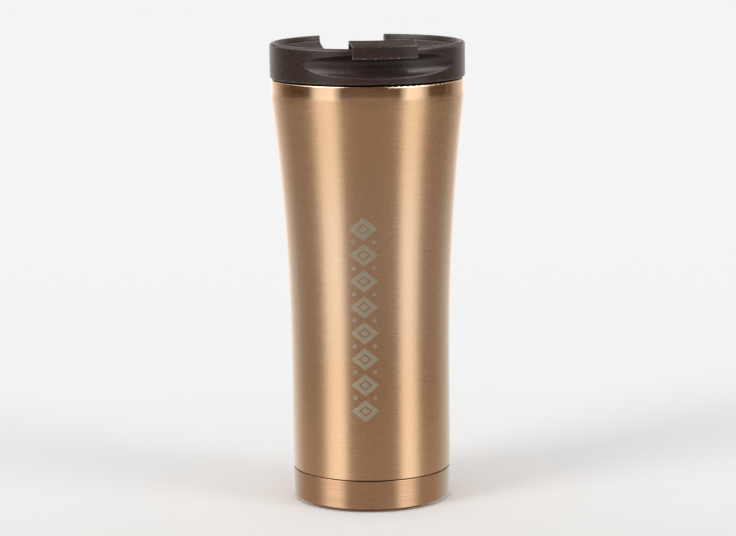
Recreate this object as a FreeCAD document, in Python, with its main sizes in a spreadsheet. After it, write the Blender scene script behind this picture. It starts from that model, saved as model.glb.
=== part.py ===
"""Insulated tumbler: a flared double-walled steel cup with a screw-in lid and a flip lever.

Millimetres, +Z up. The origin is the centre of the face the tumbler stands on.
The lever's tab, and so the drinking side, points along -Y; the lever's hinge pin lies along X.
The lid is drawn screwed down and the lever closed.
"""
import FreeCAD
import Part

import math
import os

import Sketcher

PARTS = "parts"
V = FreeCAD.Vector
# keeps a quarter or half circle's radius a hair over half its chord
NEAR = 1.001

doc = FreeCAD.newDocument("insulated_tumbler")
sheet = doc.addObject("Spreadsheet::Sheet", "dims")


# ---------------------------------------------------------------- driving dimensions

# alias, value in mm (or degrees, or a count), what it is
DIMENSIONS = [
    # cup, outside
    ("cup_radius", 34.33, "outer radius of the straight lower part of the cup"),
    ("flare_start", 58.0, "height where the cup starts to flare"),
    ("flare_radius", 1000.0, "radius of the long arc that flares the cup"),
    ("shoulder_low", 174.0, "height where the flare turns back to vertical, as a convex band"),
    ("cup_top", 184.1, "height of the cup's mouth"),
    ("lip_round", 1.0, "outer rounding of the mouth"),
    ("shell_wall", 0.5, "sheet thickness of the outer shell"),
    # base
    ("seam_low", 13.7, "top edge of the base cover"),
    ("seam_gap", 0.4, "open gap between the base cover and the shell above it"),
    ("seam_round", 0.2, "rounding of the two metal edges at the seam"),
    ("foot_lift", 0.5, "height of the base cover's metal above the table"),
    ("base_round", 1.4, "rounding of the base cover's bottom edge"),
    ("cover_wall", 0.5, "sheet thickness of the base cover"),
    ("recess_radius", 28.0, "radius of the pressed recess that holds the foot pad"),
    ("recess_depth", 1.0, "depth of that recess"),
    ("spigot_low", 4.6, "lower end of the shell's reduced spigot, inside the base cover"),
    ("spigot_play", 0.05, "radial play between the spigot and the base cover"),
    # liner
    ("liner_wall", 0.45, "sheet thickness of the inner liner"),
    ("liner_radius", 30.6, "inner radius of the liner's straight part"),
    ("liner_floor", 10.0, "height of the liner's floor"),
    ("liner_corner", 8.0, "inner rounding between the liner's floor and wall"),
    ("seat_radius", 35.8, "inner radius where the lid's gasket seals"),
    ("seat_low", 166.0, "lower end of the gasket seat"),
    ("seat_high", 170.8, "upper end of the gasket seat"),
    ("neck_radius", 37.0, "inner radius of the threaded neck"),
    ("neck_low", 172.0, "lower end of the threaded neck"),
    ("neck_round", 1.6, "inner rounding of the mouth"),
    # screw thread, three starts
    ("thread_lead", 12.0, "rise of the lid in one turn"),
    ("thread_starts", 3, "number of thread starts"),
    ("male_root", 35.2, "radius of the lid plug between its ridges"),
    ("male_crest", 36.6, "radius of the lid plug's ridges"),
    ("male_height", 173.4, "height of a male ridge's centre where it starts"),
    ("male_turns", 0.5, "length of a male ridge in turns"),
    ("female_crest", 35.8, "inner radius of the neck's ridges"),
    ("female_offset", 1.8, "height of a female ridge above the male one"),
    ("female_turns", 0.45, "length of a female ridge in turns"),
    # vacuum parts
    ("foil_gap", 0.3, "gap between the liner and the radiation foil"),
    ("foil_wall", 0.15, "thickness of the radiation foil"),
    ("foil_low", 20.0, "lower edge of the radiation foil"),
    ("foil_high", 160.0, "upper edge of the radiation foil"),
    ("dimple_radius", 7.0, "radius of the dimple round the evacuation hole"),
    ("dimple_rise", 1.2, "height of that dimple"),
    ("dimple_skirt", 1.4, "width of the dimple's sloping side"),
    ("weld_flange", 3.4, "height of the vacuum base's upturned edge"),
    ("evac_radius", 1.5, "radius of the evacuation hole"),
    ("getter_x", 17.0, "distance of the getter from the axis"),
    ("getter_radius", 5.0, "radius of the getter capsule"),
    ("getter_height", 1.7, "thickness of the getter capsule"),
    ("getter_play", 0.05, "play above and below the getter capsule"),
    ("clip_wall", 0.3, "sheet thickness of the getter clip"),
    # lid shell
    ("lid_radius", 42.0, "outer radius of the lid"),
    ("lid_low", 184.5, "height of the lid's lower edge"),
    ("rim_top", 199.5, "height of the lid's rim"),
    ("rim_inner", 39.0, "inner radius of the rim"),
    ("rim_round", 1.4, "outer rounding of the rim"),
    ("rim_round_in", 0.3, "inner rounding of the rim"),
    ("rim_flare", 0.5, "how much wider the rim's inner wall is at its top"),
    ("skirt_round", 0.5, "rounding of the lid's lower edge"),
    ("skirt_inner", 39.8, "inner radius of the lid's skirt"),
    ("dish_edge", 196.6, "height of the dish where it meets the rim"),
    ("dish_sag", 2.0, "how much lower the dish is at its centre"),
    ("dish_flat", 26.0, "radius where the dish's nearly flat middle starts to rise"),
    ("dish_fall", 0.15, "how much lower the dish is at its centre than at that radius"),
    ("dish_curve", 42.0, "radius of the arc by which the dish rises to the rim"),
    ("dish_fillet", 1.2, "rounding between the dish and the rim"),
    ("lid_wall", 2.0, "thickness of the lid's dish"),
    ("shell_corner", 2.6, "rounding under the dish, inside the lid's skirt"),
    # channel for the lever
    ("channel_half", 14.5, "half the width of the channel"),
    ("channel_floor", 190.2, "height of the channel's floor"),
    ("channel_front", 36.2, "radius of the channel's front wall"),
    ("channel_wall", 1.8, "thickness of the channel's walls and floor"),
    # finger scoop
    ("scoop_depth", 3.6, "depth of the finger scoop"),
    ("scoop_angle", 50.0, "half the angle that the scoop spans, in degrees"),
    ("scoop_height", 192.3, "height of the scoop's centre line"),
    ("scoop_slope", 0.8, "rise of the scoop's flanks for each mm outwards"),
    ("scoop_round", 4.8, "radius at the bottom of the scoop"),
    # drink slot and vent
    ("slot_y", -26.6, "position of the drink slot"),
    ("slot_half", 7.5, "half the length of the drink slot"),
    ("slot_round", 3.25, "half the width of the drink slot"),
    ("collar_width", 2.0, "width of the raised collar round the slot"),
    ("collar_rise", 0.8, "height of that collar"),
    ("chute_wall", 1.5, "wall of the chute below the slot"),
    ("vent_y", -11.0, "position of the vent"),
    ("vent_radius", 1.5, "radius of the vent hole"),
    # moulded roundings of the lid and the lever
    ("notch_round", 0.25, "rounding of the rim's notch behind the hinge"),
    ("scoop_edge_round", 0.6, "rounding of the scoop's edge"),
    ("lever_round", 0.5, "rounding of the lever's side edges"),
    # hinge
    ("hinge_z", 192.9, "height of the hinge axis"),
    ("barrel_radius", 2.3, "radius of the lever's hinge barrel"),
    ("pin_radius", 1.2, "radius of the hinge pin"),
    ("pin_play", 0.05, "radial play of the lever on its pin"),
    ("pin_half", 16.2, "half the length of the hinge pin"),
    ("ear_inner", 11.3, "inner face of the hinge ears"),
    # lever
    ("lever_half", 14.0, "half the width of the lever and its tab"),
    ("lever_neck", 11.0, "half the width of the lever between the ears"),
    ("tab_outer", 44.2, "outer radius of the tab"),
    ("tab_inner", 42.5, "inner radius of the tab's hanging lip"),
    ("tab_low", 195.4, "lower edge of the tab"),
    ("tab_top", 202.7, "top of the tab at its back"),
    ("tab_slope", 0.2, "fall of the tab's top for each mm forwards"),
    ("tab_round", 1.0, "rounding of the tab's top edge at the front"),
    ("tab_round_back", 0.5, "rounding of the tab's top edge at the back"),
    ("tab_back", 35.4, "radius where the raised tab ends"),
    ("tab_plate", 1.3, "thickness of the tab's plate over the rim"),
    ("step_play", 0.5, "play between the lever's step and the rim and channel round it"),
    ("shoulder_rise", 0.6, "height of the step's shoulder above the dish's edge"),
    ("arm_overlap", 5.4, "how far the arm's front end reaches back from the tab"),
    ("arm_under", 193.2, "underside of the lever's arm"),
    ("arm_front", 196.3, "top of the arm at its front"),
    ("arm_back", 195.3, "top of the arm beside the hinge"),
    # lid plug and gasket
    ("plug_low", 166.6, "underside of the lid plug"),
    ("plug_floor", 168.6, "upper face of the lid plug's floor"),
    ("plug_inner", 33.3, "inner radius of the lid plug"),
    ("flange_low", 184.8, "underside of the plug's flange"),
    ("flange_high", 186.8, "top of the plug's flange"),
    ("groove_radius", 33.5, "radius of the gasket groove"),
    ("groove_low", 167.9, "lower side of the gasket groove"),
    ("groove_high", 171.1, "upper side of the gasket groove"),
    ("gasket_radius", 35.6, "outer radius of the gasket's lips"),
    # silicone stoppers and pad
    ("stopper_low", 187.9, "lower end of the drink stopper"),
    ("stopper_seat", 191.2, "underside of the drink stopper's flange"),
    ("stem_radius", 2.5, "radius of the drink stopper's stem"),
    ("stem_depth", 1.4, "depth of the hole that the stem sits in"),
    ("pad_groove", 0.7, "depth of the grooves in the foot pad"),
]


class Size:
    """A length that keeps both its value and the sheet expression it comes from."""

    def __init__(self, value, text):
        self.value = value
        self.text = text

    def join(self, other, sign, value):
        return Size(value, f"({self.text} {sign} {as_size(other).text})")

    def __add__(self, other):
        return self.join(other, "+", self.value + as_size(other).value)

    def __sub__(self, other):
        return self.join(other, "-", self.value - as_size(other).value)

    def __mul__(self, other):
        return self.join(other, "*", self.value * as_size(other).value)

    def __truediv__(self, other):
        return self.join(other, "/", self.value / as_size(other).value)

    def __rsub__(self, other):
        return as_size(other) - self

    def __neg__(self):
        return Size(-self.value, f"(0 - {self.text})")


def as_size(number):
    return number if isinstance(number, Size) else Size(float(number), repr(float(number)))


def root(size):
    return Size(math.sqrt(size.value), f"sqrt({size.text})")


def square(size):
    return size * size


def cosine(degrees):
    return Size(math.cos(math.radians(degrees.value)), f"cos({degrees.text} * 1 deg)")


class Dims:
    """The sheet's cells by alias, such as d.cup_radius."""


def fill_sheet():
    for row, (alias, value, meaning) in enumerate(DIMENSIONS, start=1):
        sheet.set(f"A{row}", meaning)
        sheet.set(f"B{row}", str(value))
        sheet.setAlias(f"B{row}", alias)
        setattr(d, alias, Size(float(value), f"dims.{alias}"))
    doc.recompute()


d = Dims()
fill_sheet()


# ---------------------------------------------------------------- sketch and feature helpers


def bind(thing, path, size):
    """Sets a property or constraint to a size, and ties it to the sheet if it comes from there."""
    if "dims." in size.text:
        thing.setExpression(path, size.text)


class Outline:
    """A closed outline of lines and arcs, whose corners are tied to the sheet."""

    def __init__(self, x, y):
        self.points = [(as_size(x), as_size(y))]
        self.arcs = {}

    def line(self, x, y):
        self.points.append((as_size(x), as_size(y)))
        return self

    def arc(self, x, y, radius, turn):
        """An arc of under half a turn to (x, y). turn is 1 anticlockwise and -1 clockwise."""
        self.arcs[len(self.points) - 1] = (as_size(radius), turn)
        return self.line(x, y)

    def close_arc(self, radius, turn):
        """Closes the outline with an arc back to the first point."""
        self.arcs[len(self.points) - 1] = (as_size(radius), turn)
        return self

    def draw(self, sketch):
        count = len(self.points)
        first = sketch.GeometryCount
        corners = [V(x.value, y.value, 0) for x, y in self.points]
        for i in range(count):
            start, end = corners[i], corners[(i + 1) % count]
            if i in self.arcs:
                radius, turn = self.arcs[i]
                sketch.addGeometry(arc_between(start, end, radius.value, turn), False)
            else:
                sketch.addGeometry(Part.LineSegment(start, end), False)
        for i in range(count):
            after = (i + 1) % count
            here, there = first + i, first + after
            # an anticlockwise arc starts where the outline enters it, a clockwise one ends there
            leave = 1 if i in self.arcs and self.arcs[i][1] < 0 else 2
            enter = 2 if after in self.arcs and self.arcs[after][1] < 0 else 1
            sketch.addConstraint(Sketcher.Constraint("Coincident", here, leave, there, enter))
            x, y = self.points[after]
            fix_corner(sketch, there, enter, x, y)
        for i, (radius, _) in self.arcs.items():
            at = sketch.addConstraint(Sketcher.Constraint("Radius", first + i, radius.value))
            bind(sketch, f"Constraints[{at}]", radius)


def arc_between(start, end, radius, turn):
    middle = (start + end) * 0.5
    chord = end - start
    rise = math.sqrt(max(radius * radius - chord.Length ** 2 / 4, 0.0))
    side = V(-chord.y, chord.x, 0).normalize() * (rise * turn)
    centre = middle + side
    circle = Part.Circle(centre, V(0, 0, 1), radius)
    a, b = (start, end) if turn > 0 else (end, start)
    begin = math.atan2(a.y - centre.y, a.x - centre.x)
    finish = math.atan2(b.y - centre.y, b.x - centre.x)
    return Part.ArcOfCircle(circle, begin, finish)


def fix_corner(sketch, geometry, corner, x, y):
    """Ties a corner to the sketch's origin in both directions."""
    for kind, size, axis in (("DistanceX", x, -2), ("DistanceY", y, -1)):
        if abs(size.value) < 1e-9:
            sketch.addConstraint(Sketcher.Constraint("PointOnObject", geometry, corner, axis))
        elif size.value > 0:
            at = sketch.addConstraint(
                Sketcher.Constraint(kind, -1, 1, geometry, corner, size.value))
            bind(sketch, f"Constraints[{at}]", size)
        else:
            at = sketch.addConstraint(
                Sketcher.Constraint(kind, geometry, corner, -1, 1, -size.value))
            bind(sketch, f"Constraints[{at}]", -size)


def new_body(label):
    body = doc.addObject("PartDesign::Body", label)
    body.Label = label
    return body


def origin_plane(body, role):
    return next(f for f in body.Origin.OriginFeatures if f.Role == role)


def new_sketch(body, role, offset=None):
    """A sketch on one of the body's own origin planes, raised along its normal by offset."""
    sketch = body.newObject("Sketcher::SketchObject", body.Name + "_sketch")
    sketch.AttachmentSupport = [(origin_plane(body, role), "")]
    sketch.MapMode = "FlatFace"
    if offset is not None:
        sketch.AttachmentOffset = FreeCAD.Placement(V(0, 0, offset.value), FreeCAD.Rotation())
        bind(sketch, "AttachmentOffset.Base.z", offset)
    return sketch


def draw(body, role, outlines, offset=None):
    sketch = new_sketch(body, role, offset)
    for outline in outlines:
        outline.draw(sketch)
    return sketch


def circle_sketch(body, role, x, y, radius, offset=None):
    sketch = new_sketch(body, role, offset)
    circle = sketch.addGeometry(
        Part.Circle(V(x.value, y.value, 0), V(0, 0, 1), radius.value), False)
    fix_corner(sketch, circle, 3, x, y)
    at = sketch.addConstraint(Sketcher.Constraint("Radius", circle, radius.value))
    bind(sketch, f"Constraints[{at}]", radius)
    return sketch


def feature(body, kind, sketch):
    """Adds a PartDesign feature made from the sketch, for the caller to set up and solve."""
    made = body.newObject("PartDesign::" + kind, f"{body.Name}_{kind.lower()}")
    made.Profile = sketch
    return made


def solve(body, made, adds):
    """Recomputes, and stops if the feature failed or changed the volume the wrong way."""
    before = solve.volume.get(body.Name, 0.0)
    doc.recompute()
    broken = [s for s in made.State if s in ("Invalid", "Error")]
    if broken or body.Shape.isNull():
        raise RuntimeError(f"{made.Label} failed: {made.State}")
    after = body.Shape.Volume
    if (after - before) * (1 if adds else -1) < 1e-3:
        raise RuntimeError(f"{made.Label} changed the volume from {before:.3f} to {after:.3f}")
    solve.volume[body.Name] = after
    return made


solve.volume = {}


def revolve(body, sketch, adds=True, axis="V_Axis", degrees=360.0):
    made = feature(body, "Revolution" if adds else "Groove", sketch)
    made.ReferenceAxis = (sketch, [axis])
    made.Angle = degrees
    made.Midplane = degrees < 360.0
    return solve(body, made, adds)


def pad(body, sketch, length, down=False, both_sides=False):
    made = feature(body, "Pad", sketch)
    made.Length = length.value
    bind(made, "Length", length)
    made.SideType = "Symmetric" if both_sides else "One side"
    made.Reversed = down
    return solve(body, made, True)


def pocket(body, sketch, length, up=False, both_sides=False):
    made = feature(body, "Pocket", sketch)
    made.Length = length.value
    bind(made, "Length", length)
    made.SideType = "Symmetric" if both_sides else "One side"
    made.Reversed = up
    return solve(body, made, False)


def round_edges(body, radius, wanted):
    """Rounds the edges for which wanted(start, middle, end) holds, all three being points."""
    tip = body.Tip
    names = []
    for i, edge in enumerate(tip.Shape.Edges, start=1):
        first, last = edge.FirstParameter, edge.LastParameter
        if wanted(*(edge.valueAt(p) for p in (first, (first + last) / 2, last))):
            names.append(f"Edge{i}")
    if not names:
        raise RuntimeError(f"{body.Label}: no edge to round")
    made = body.newObject("PartDesign::Fillet", body.Name + "_fillet")
    made.Base = (tip, names)
    made.Radius = radius
    doc.recompute()
    if any(s in ("Invalid", "Error") for s in made.State) or not body.Shape.isValid():
        raise RuntimeError(f"{body.Label}: rounding failed on {names}")
    solve.volume[body.Name] = body.Shape.Volume
    return made


def all_near(points, measure, wanted, slack=0.02):
    """True if measure(point) is wanted, within slack, at each of the points."""
    return all(abs(measure(p) - wanted) < slack for p in points)


def rim_of_disc(axis):
    """Picks the edges that lie square to an axis: "x" or "z"."""
    def square_to_axis(start, middle, end):
        return abs(getattr(start, axis) - getattr(middle, axis)) < 1e-6
    return square_to_axis


def off_middle(point):
    return abs(point.x)


def off_axis(point):
    return math.hypot(point.x, point.y)


def obround(centre_y, half, radius):
    """A slot outline along X: half its length, and half its width as its end radius."""
    flat = half - radius
    return (
        Outline(-flat, centre_y - radius)
        .line(flat, centre_y - radius)
        .arc(flat, centre_y + radius, radius * NEAR, 1)
        .line(-flat, centre_y + radius)
        .close_arc(radius * NEAR, 1)
    )


def thread(body, wall_radius, crest_radius, height, turns, half_crest, half_root=1.2):
    """Helical ridges round Z: one trapezoid swept up and repeated for each start."""
    rooted = 0.2 if crest_radius.value < wall_radius.value else -0.2
    root_radius = wall_radius + rooted
    ridge = draw(body, "XZ_Plane", [
        Outline(root_radius, height - half_root)
        .line(crest_radius, height - half_crest)
        .line(crest_radius, height + half_crest)
        .line(root_radius, height + half_root)
    ])
    helix = body.newObject("PartDesign::AdditiveHelix", body.Name + "_helix")
    helix.Profile = ridge
    helix.ReferenceAxis = (ridge, ["V_Axis"])
    helix.Mode = "pitch-turns-angle"
    helix.Pitch = d.thread_lead.value
    bind(helix, "Pitch", d.thread_lead)
    helix.Turns = turns.value
    bind(helix, "Turns", turns)
    solve(body, helix, True)
    starts = body.newObject("PartDesign::PolarPattern", body.Name + "_starts")
    starts.Originals = [helix]
    starts.Axis = (ridge, ["V_Axis"])
    starts.Angle = 360
    starts.Occurrences = int(d.thread_starts.value)
    bind(starts, "Occurrences", d.thread_starts)
    body.Tip = starts
    return solve(body, starts, True)


# ---------------------------------------------------------------- curves shared by several pieces

seam_high = d.seam_low + d.seam_gap
lip_z = d.cup_top - d.lip_round
weld_r = d.neck_radius + d.neck_round

# the flare's slope at the shoulder, and the convex arc that runs on from it to vertical
shoulder_sin = (d.shoulder_low - d.flare_start) / d.flare_radius
shoulder_cos = root(1 - square(shoulder_sin))
shoulder_radius = (lip_z - d.shoulder_low) / shoulder_sin
shoulder_r = d.cup_radius + d.flare_radius * (1 - shoulder_cos)
mouth_r = shoulder_r + shoulder_radius * (1 - shoulder_cos)

# the liner flares along its own long arc, from its straight part to the gasket seat
liner_widening = d.seat_radius - d.liner_radius
liner_flare = (square(liner_widening) + square(d.seat_low - d.flare_start)) / (liner_widening * 2)


def liner_flare_at(height):
    """How much the liner has widened at a height above the flare's start."""
    return liner_flare - root(square(liner_flare) - square(height - d.flare_start))


# ---------------------------------------------------------------- cup


def outer_shell():
    """Drawn steel tube: reduced spigot at the foot, straight part, long flare, rolled mouth."""
    body = new_body("outer_shell")
    wall = d.shell_wall
    spigot = d.cup_radius - d.cover_wall - d.spigot_play
    revolve(body, draw(body, "XZ_Plane", [
        Outline(spigot, d.spigot_low)
        .line(spigot, seam_high)
        .line(d.cup_radius - d.seam_round, seam_high)
        .arc(d.cup_radius, seam_high + d.seam_round, d.seam_round, 1)
        .line(d.cup_radius, d.flare_start)
        .arc(shoulder_r, d.shoulder_low, d.flare_radius, -1)
        .arc(mouth_r, lip_z, shoulder_radius, 1)
        .arc(mouth_r - d.lip_round, d.cup_top, d.lip_round, 1)
        .line(weld_r, d.cup_top)
        .line(weld_r, d.cup_top - wall)
        .line(mouth_r - d.lip_round, d.cup_top - wall)
        .arc(mouth_r - wall, lip_z, d.lip_round - wall, -1)
        .arc(shoulder_r - wall * shoulder_cos, d.shoulder_low + wall * shoulder_sin,
             shoulder_radius - wall, -1)
        .arc(d.cup_radius - wall, d.flare_start, d.flare_radius + wall, 1)
        .line(d.cup_radius - wall, seam_high + wall)
        .line(spigot - wall, seam_high + wall)
        .line(spigot - wall, d.spigot_low)
    ]))
    return body


def inner_liner():
    """Drawn steel cup, with the gasket seat and the rolled three-start thread in its neck."""
    body = new_body("inner_liner")
    wall = d.liner_wall
    low_corner = d.liner_floor + d.liner_corner
    outer_corner = d.liner_corner + wall
    revolve(body, draw(body, "XZ_Plane", [
        Outline(0, d.liner_floor - wall)
        .line(d.liner_radius - d.liner_corner, d.liner_floor - wall)
        .arc(d.liner_radius + wall, low_corner, outer_corner, 1)
        .line(d.liner_radius + wall, d.flare_start)
        .arc(d.seat_radius + wall, d.seat_low, liner_flare, -1)
        .line(d.seat_radius + wall, d.seat_high)
        .line(d.neck_radius + wall, d.neck_low)
        .line(d.neck_radius + wall, d.cup_top - d.neck_round)
        .arc(weld_r, d.cup_top - wall, d.neck_round - wall, -1)
        .line(weld_r, d.cup_top)
        .arc(d.neck_radius, d.cup_top - d.neck_round, d.neck_round, 1)
        .line(d.neck_radius, d.neck_low)
        .line(d.seat_radius, d.seat_high)
        .line(d.seat_radius, d.seat_low)
        .arc(d.liner_radius, d.flare_start, liner_flare, 1)
        .line(d.liner_radius, low_corner)
        .arc(d.liner_radius - d.liner_corner, d.liner_floor, d.liner_corner, -1)
        .line(0, d.liner_floor)
    ]))
    thread(body, d.neck_radius, d.female_crest, d.male_height + d.female_offset,
           d.female_turns, half_crest=0.5)
    return body


def vacuum_base():
    """Disc welded into the spigot, with a raised dimple round the evacuation hole."""
    body = new_body("vacuum_base")
    wall = d.shell_wall
    edge = d.cup_radius - d.cover_wall - d.spigot_play - wall
    low = d.spigot_low
    # the sheet's upper face follows the dimple's side at the same thickness
    shift = as_size(0.3)
    revolve(body, draw(body, "XZ_Plane", [
        Outline(d.evac_radius, low + d.dimple_rise)
        .line(d.dimple_radius - d.dimple_skirt, low + d.dimple_rise)
        .line(d.dimple_radius, low)
        .line(edge, low)
        .line(edge, low + d.weld_flange)
        .line(edge - wall, low + d.weld_flange)
        .line(edge - wall, low + wall)
        .line(d.dimple_radius + shift, low + wall)
        .line(d.dimple_radius - d.dimple_skirt + shift, low + d.dimple_rise + wall)
        .line(d.evac_radius, low + d.dimple_rise + wall)
    ]))
    return body


def sealing_bead():
    """Glass bead fused over the evacuation hole, from below."""
    body = new_body("sealing_bead")
    film, hang = as_size(0.02), as_size(0.9)
    seat = d.spigot_low + d.dimple_rise
    bead = d.evac_radius * 2
    stem = d.evac_radius - film
    revolve(body, draw(body, "XZ_Plane", [
        Outline(0, seat - hang)
        .arc(bead, seat - film, bead * 1.9, 1)
        .line(stem, seat - film)
        .line(stem, seat + d.shell_wall)
        .line(0, seat + d.shell_wall)
    ]))
    return body


def getter_capsule():
    """Pressed getter pellet that keeps the vacuum, lying on the vacuum base."""
    body = new_body("getter_capsule")
    low = d.spigot_low + d.shell_wall + d.getter_play
    disc = circle_sketch(body, "XY_Plane", d.getter_x, as_size(0), d.getter_radius, low)
    pad(body, disc, d.getter_height)
    round_edges(body, 0.4, rim_of_disc("z"))
    return body


def getter_clip():
    """Spring-steel strap, spot-welded on both sides of the getter."""
    body = new_body("getter_clip")
    low = d.spigot_low + d.shell_wall
    top = low + d.getter_height + d.getter_play * 2
    near = d.getter_radius + 0.3
    foot_length, strap_width = 3.2, as_size(3.6)
    foot = near + foot_length
    wall = d.clip_wall
    x = d.getter_x
    pad(body, draw(body, "XZ_Plane", [
        Outline(x - foot, low)
        .line(x - near, low)
        .line(x - near, top)
        .line(x + near, top)
        .line(x + near, low)
        .line(x + foot, low)
        .line(x + foot, low + wall)
        .line(x + near + wall, low + wall)
        .line(x + near + wall, top + wall)
        .line(x - near - wall, top + wall)
        .line(x - near - wall, low + wall)
        .line(x - foot, low + wall)
    ]), strap_width, both_sides=True)
    return body


def radiation_foil():
    """Thin foil round the liner, inside the vacuum."""
    body = new_body("radiation_foil")
    inner = d.liner_radius + d.liner_wall + d.foil_gap
    outer = inner + d.foil_wall
    widening = liner_flare_at(d.foil_high)
    revolve(body, draw(body, "XZ_Plane", [
        Outline(inner, d.foil_low)
        .line(outer, d.foil_low)
        .line(outer, d.flare_start)
        .arc(outer + widening, d.foil_high, liner_flare, -1)
        .line(inner + widening, d.foil_high)
        .arc(inner, d.flare_start, liner_flare, 1)
    ]))
    return body


def base_cover():
    """Brushed steel cup pushed over the spigot; its recess holds the foot pad."""
    body = new_body("base_cover")
    low = d.foot_lift
    wall = d.cover_wall
    flat = d.cup_radius - d.base_round
    raised = low + d.recess_depth
    revolve(body, draw(body, "XZ_Plane", [
        Outline(0, raised)
        .line(d.recess_radius, raised)
        .line(d.recess_radius, low)
        .line(flat, low)
        .arc(d.cup_radius, low + d.base_round, d.base_round, 1)
        .line(d.cup_radius, d.seam_low - d.seam_round)
        .arc(d.cup_radius - d.seam_round, d.seam_low, d.seam_round, 1)
        .line(d.cup_radius - wall, d.seam_low)
        .line(d.cup_radius - wall, low + d.base_round)
        .arc(flat, low + wall, d.base_round - wall, -1)
        .line(d.recess_radius + wall, low + wall)
        .line(d.recess_radius + wall, raised + wall)
        .line(0, raised + wall)
    ]))
    return body


def base_adhesive():
    """Ring of foam tape that holds the base cover on the vacuum base."""
    body = new_body("base_adhesive")
    outer = d.recess_radius - 2
    inner = outer - 10
    low = d.foot_lift + d.recess_depth + d.cover_wall
    revolve(body, draw(body, "XZ_Plane", [
        Outline(inner, low).line(outer, low).line(outer, d.spigot_low).line(inner, d.spigot_low)
    ]))
    return body


def foot_pad():
    """Silicone pad that the tumbler stands on, with ring grooves for grip."""
    body = new_body("foot_pad")
    edge = d.recess_radius - 0.3
    top = d.foot_lift + d.recess_depth
    groove_starts, groove_side, groove_width = (9.0, 15.5, 22.0), 0.4, 1.8
    edge_round = 0.6
    outline = Outline(0, 0)
    for start in groove_starts:
        end = start + groove_width
        outline.line(start, 0).line(start + groove_side, d.pad_groove)
        outline.line(end - groove_side, d.pad_groove).line(end, 0)
    outline.line(edge - edge_round, 0).arc(edge, edge_round, edge_round * NEAR, 1)
    outline.line(edge, top).line(0, top)
    revolve(body, draw(body, "XZ_Plane", [outline]))
    return body


# ---------------------------------------------------------------- lid


def lid_section():
    """Half section of the lid: skirt, rim, and a dish that rises to the rim in a long curve."""
    fillet, corner = d.dish_fillet, d.shell_corner
    dish_r = d.rim_inner - fillet
    under_r = d.skirt_inner - corner
    top_r = d.rim_inner + d.rim_flare
    centre = d.dish_edge - d.dish_sag
    # the nearly flat middle is part of a large sphere
    sphere = (square(d.dish_flat) + square(d.dish_fall)) / (d.dish_fall * 2)
    under = d.dish_edge - d.lid_wall
    return (
        Outline(d.skirt_inner, d.lid_low)
        .line(d.lid_radius - d.skirt_round, d.lid_low)
        .arc(d.lid_radius, d.lid_low + d.skirt_round, d.skirt_round, 1)
        .line(d.lid_radius, d.rim_top - d.rim_round)
        .arc(d.lid_radius - d.rim_round, d.rim_top, d.rim_round, 1)
        .line(top_r + d.rim_round_in, d.rim_top)
        .arc(top_r, d.rim_top - d.rim_round_in, d.rim_round_in * NEAR, 1)
        .line(d.rim_inner, d.dish_edge + fillet)
        .arc(dish_r, d.dish_edge, fillet * NEAR, -1)
        .arc(d.dish_flat, centre + d.dish_fall, d.dish_curve, -1)
        .arc(0, centre, sphere, -1)
        .line(0, centre - d.lid_wall)
        .arc(d.dish_flat, centre + d.dish_fall - d.lid_wall, sphere, 1)
        .arc(under_r, under, d.dish_curve, 1)
        .arc(d.skirt_inner, under - corner, corner * NEAR, -1)
    )


def scoop_axis_and_floor():
    """The finger scoop's floor is an arc flatter than the lid: its centre's Y and its radius."""
    deepest = d.lid_radius - d.scoop_depth
    tip = d.lid_radius * cosine(d.scoop_angle)
    centre = (square(d.lid_radius) - square(deepest)) / ((deepest - tip) * 2)
    return centre, deepest + centre


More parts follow.
